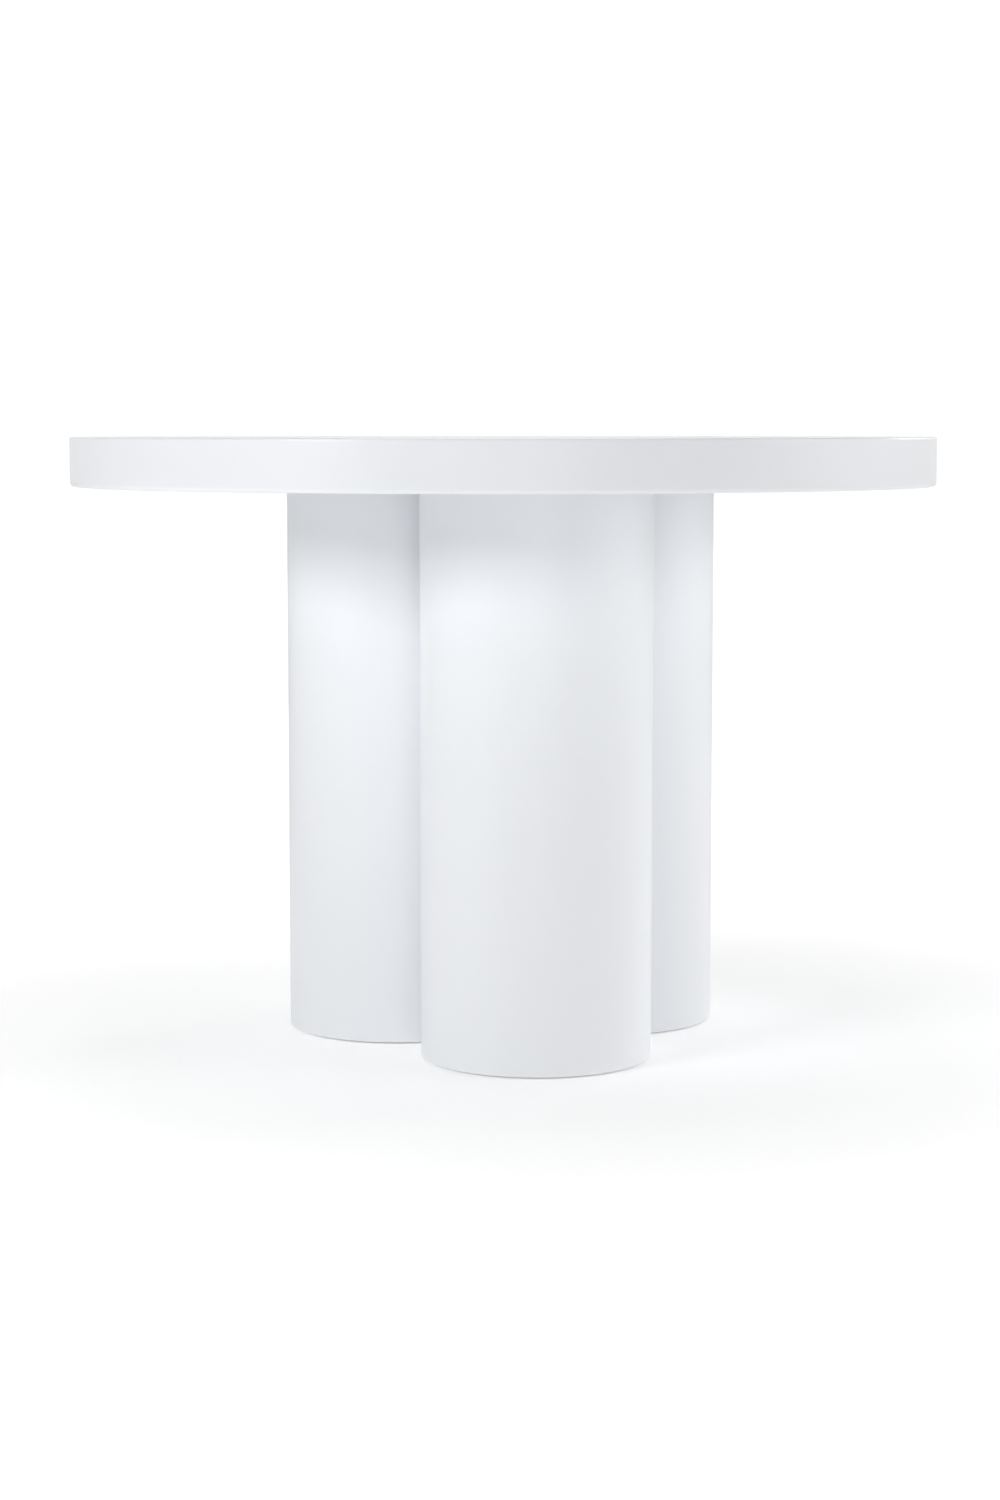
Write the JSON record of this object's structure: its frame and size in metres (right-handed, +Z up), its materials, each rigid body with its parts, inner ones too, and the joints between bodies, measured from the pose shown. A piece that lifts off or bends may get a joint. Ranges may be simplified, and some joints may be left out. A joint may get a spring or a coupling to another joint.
{
  "type": "round pedestal table",
  "caption": "Round dining table with a thick white lacquered top on a pedestal of round columns joined side by side, standing on screw glides.",
  "frame": {"origin": "on the floor, straight under the centre of the round top", "axes": "+Z up, -Y towards the front, where one column points; +X to the right seen from the front"},
  "size_m": [1.067, 1.067, 0.75],
  "materials": {
    "white_lacquer": "satin white lacquer on fibreboard",
    "raw_mdf": "bare sanded fibreboard",
    "zinc_steel": "bright zinc plated",
    "nylon": "matte moulded nylon"
  },
  "bodies": {
    "table": {"top_panel": "white_lacquer", "edge_ring": "white_lacquer", "under_panel": "white_lacquer", "core_block": "raw_mdf", "core_ribs": "raw_mdf", "top_inserts": "zinc_steel", "front_column": "white_lacquer", "right_column": "white_lacquer", "left_column": "white_lacquer", "front_head_disc": "raw_mdf", "right_head_disc": "raw_mdf", "left_head_disc": "raw_mdf", "front_foot_ring": "raw_mdf", "right_foot_ring": "raw_mdf", "left_foot_ring": "raw_mdf", "top_bolts": "zinc_steel", "top_washers": "zinc_steel", "connector_sleeves": "zinc_steel", "connector_screws": "zinc_steel", "tee_nuts": "zinc_steel"},
    "front_left_pad": {"front_left_glide_pad": "nylon"},
    "front_left_stud": {"front_left_glide_stud": "zinc_steel"},
    "front_right_pad": {"front_right_glide_pad": "nylon"},
    "front_right_stud": {"front_right_glide_stud": "zinc_steel"},
    "right_front_pad": {"right_front_glide_pad": "nylon"},
    "right_front_stud": {"right_front_glide_stud": "zinc_steel"},
    "right_rear_pad": {"right_rear_glide_pad": "nylon"},
    "right_rear_stud": {"right_rear_glide_stud": "zinc_steel"},
    "left_rear_pad": {"left_rear_glide_pad": "nylon"},
    "left_rear_stud": {"left_rear_glide_stud": "zinc_steel"},
    "left_front_pad": {"left_front_glide_pad": "nylon"},
    "left_front_stud": {"left_front_glide_stud": "zinc_steel"}
  },
  "joints": [
    {"name": "front_left_glide_height", "type": "slide", "parent": "table", "child": "front_left_pad", "axis": [0, 0, -1], "range_m": [0, 0.01]},
    {"name": "front_left_glide_screw", "type": "hinge", "parent": "front_left_pad", "child": "front_left_stud", "pos_m": [-0.07707, -0.20215, 0.0216], "axis": [0, 0, -1], "range_deg": [0, 2880]},
    {"name": "front_right_glide_height", "type": "slide", "parent": "table", "child": "front_right_pad", "axis": [0, 0, -1], "range_m": [0, 0.01]},
    {"name": "front_right_glide_screw", "type": "hinge", "parent": "front_right_pad", "child": "front_right_stud", "pos_m": [0.10307, -0.20215, 0.0216], "axis": [0, 0, -1], "range_deg": [0, 2880]},
    {"name": "right_front_glide_height", "type": "slide", "parent": "table", "child": "right_front_pad", "axis": [0, 0, -1], "range_m": [0, 0.01]},
    {"name": "right_front_glide_screw", "type": "hinge", "parent": "right_front_pad", "child": "right_front_stud", "pos_m": [0.23657, 0.02908, 0.0216], "axis": [0, 0, -1], "range_deg": [0, 2880]},
    {"name": "right_rear_glide_height", "type": "slide", "parent": "table", "child": "right_rear_pad", "axis": [0, 0, -1], "range_m": [0, 0.01]},
    {"name": "right_rear_glide_screw", "type": "hinge", "parent": "right_rear_pad", "child": "right_rear_stud", "pos_m": [0.1465, 0.18508, 0.0216], "axis": [0, 0, -1], "range_deg": [0, 2880]},
    {"name": "left_rear_glide_height", "type": "slide", "parent": "table", "child": "left_rear_pad", "axis": [0, 0, -1], "range_m": [0, 0.01]},
    {"name": "left_rear_glide_screw", "type": "hinge", "parent": "left_rear_pad", "child": "left_rear_stud", "pos_m": [-0.1205, 0.18508, 0.0216], "axis": [0, 0, -1], "range_deg": [0, 2880]},
    {"name": "left_front_glide_height", "type": "slide", "parent": "table", "child": "left_front_pad", "axis": [0, 0, -1], "range_m": [0, 0.01]},
    {"name": "left_front_glide_screw", "type": "hinge", "parent": "left_front_pad", "child": "left_front_stud", "pos_m": [-0.21057, 0.02908, 0.0216], "axis": [0, 0, -1], "range_deg": [0, 2880]}
  ],
  "couplings": [
    {"joint": "front_left_glide_screw", "follows": "front_left_glide_height", "rad_per_m": 5026.5},
    {"joint": "front_right_glide_screw", "follows": "front_right_glide_height", "rad_per_m": 5026.5},
    {"joint": "right_front_glide_screw", "follows": "right_front_glide_height", "rad_per_m": 5026.5},
    {"joint": "right_rear_glide_screw", "follows": "right_rear_glide_height", "rad_per_m": 5026.5},
    {"joint": "left_rear_glide_screw", "follows": "left_rear_glide_height", "rad_per_m": 5026.5},
    {"joint": "left_front_glide_screw", "follows": "left_front_glide_height", "rad_per_m": 5026.5}
  ]
}
